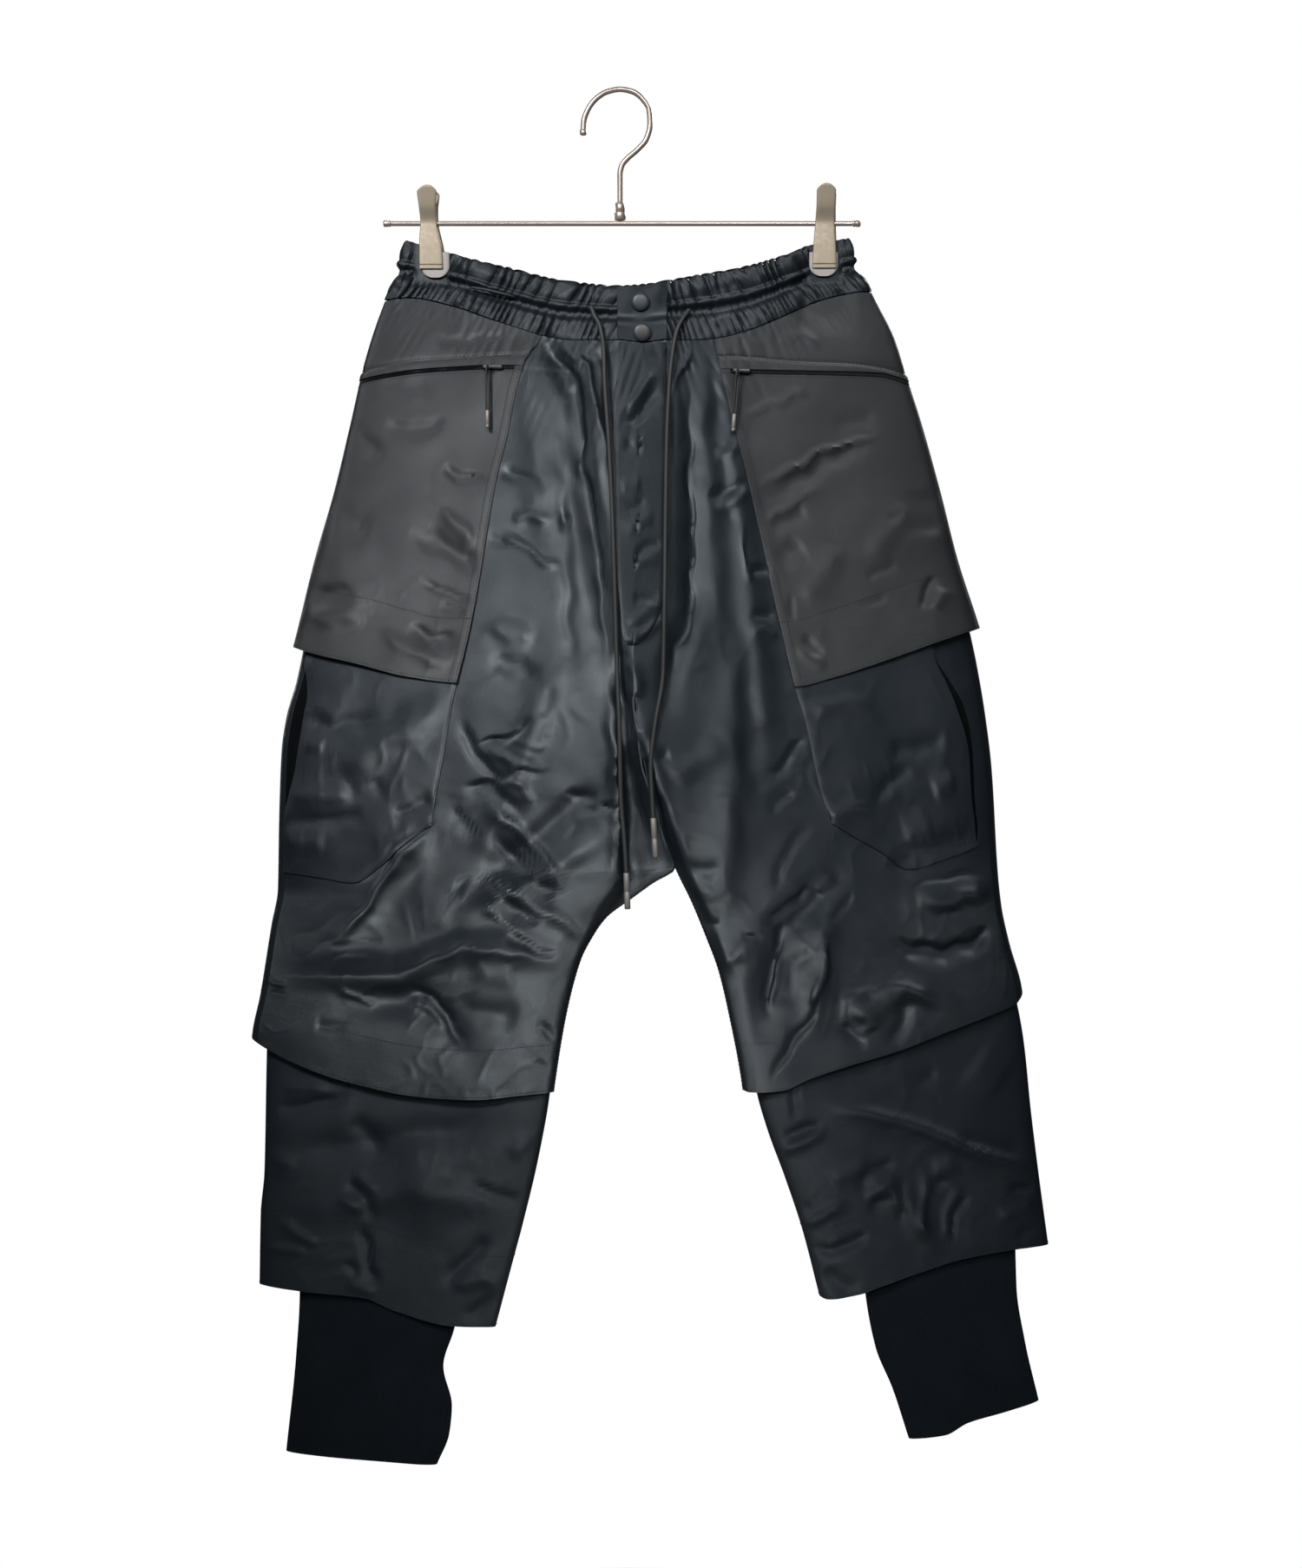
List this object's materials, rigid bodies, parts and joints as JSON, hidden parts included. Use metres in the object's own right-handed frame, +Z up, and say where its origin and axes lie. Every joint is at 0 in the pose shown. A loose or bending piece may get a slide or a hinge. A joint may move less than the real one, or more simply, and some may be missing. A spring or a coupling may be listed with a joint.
{
  "type": "cargo trousers on a clip hanger",
  "caption": "Cropped black satin cargo trousers with flared hip flaps, layered lower legs and rib cuffs, held flat by the waist on a wire clip hanger.",
  "frame": {"origin": "inside top of the hanger's hook, where a rail bears", "axes": "+Z up, +X to the viewer's right, front of the trousers faces -Y"},
  "size_m": [0.647, 0.0649, 1.1194],
  "materials": {
    "satin": "black satin-faced nylon twill",
    "satin_pocket": "black satin-faced nylon twill, pockets",
    "rib": "near-black fine rib knit, matt",
    "zip": "black coil zip and painted slider",
    "cord": "dark round cord",
    "tip": "grey cord ends",
    "snap": "matt dark snap caps",
    "clip": "satin champagne metal",
    "pad": "pale clip pads",
    "chrome": "polished wire"
  },
  "bodies": {
    "trousers_on_hanger": {"back_l": "satin", "back_r": "satin", "bar_cap_l": "chrome", "bar_cap_r": "chrome", "cargo_pocket_l": "satin_pocket", "cargo_pocket_r": "satin_pocket", "clip_back_l": "clip", "clip_back_r": "clip", "clip_front_l": "clip", "clip_front_r": "clip", "clip_pad_l": "pad", "clip_pad_r": "pad", "cord_loop": "cord", "cord_tip_l": "tip", "cord_tip_r": "tip", "drawcord_l": "cord", "drawcord_r": "cord", "fly_front": "satin", "front_l": "satin", "front_r": "satin", "hanger_bar": "chrome", "hanger_ferrule": "chrome", "hanger_hook": "chrome", "hip_panel_l": "satin_pocket", "hip_panel_r": "satin_pocket", "hip_yoke_l": "satin_pocket", "hip_yoke_r": "satin_pocket", "lower_leg_l": "satin", "lower_leg_r": "satin", "rib_cuff_l": "rib", "rib_cuff_r": "rib", "snap_lower": "snap", "snap_upper": "snap", "waist_placket": "satin", "waistband_back": "satin", "waistband_front_l": "satin", "waistband_front_r": "satin", "zip_slider_l": "zip", "zip_slider_r": "zip", "zip_tape_l": "zip", "zip_tape_r": "zip", "zip_welt_l": "satin_pocket", "zip_welt_r": "satin_pocket"},
    "zip_pull_left": {"zip_pull_cord_l": "cord", "zip_pull_tip_l": "tip"},
    "zip_pull_right": {"zip_pull_cord_r": "cord", "zip_pull_tip_r": "tip"}
  },
  "joints": [
    {"name": "zip_pull_left_swing", "type": "hinge", "parent": "trousers_on_hanger", "child": "zip_pull_left", "pos_m": [-0.1065, -0.02317, -0.22734], "axis": [-1, 0, 0], "range_deg": [0, 150]},
    {"name": "zip_pull_right_swing", "type": "hinge", "parent": "trousers_on_hanger", "child": "zip_pull_right", "pos_m": [0.095, -0.02353, -0.23032], "axis": [-1, 0, 0], "range_deg": [0, 150]}
  ]
}
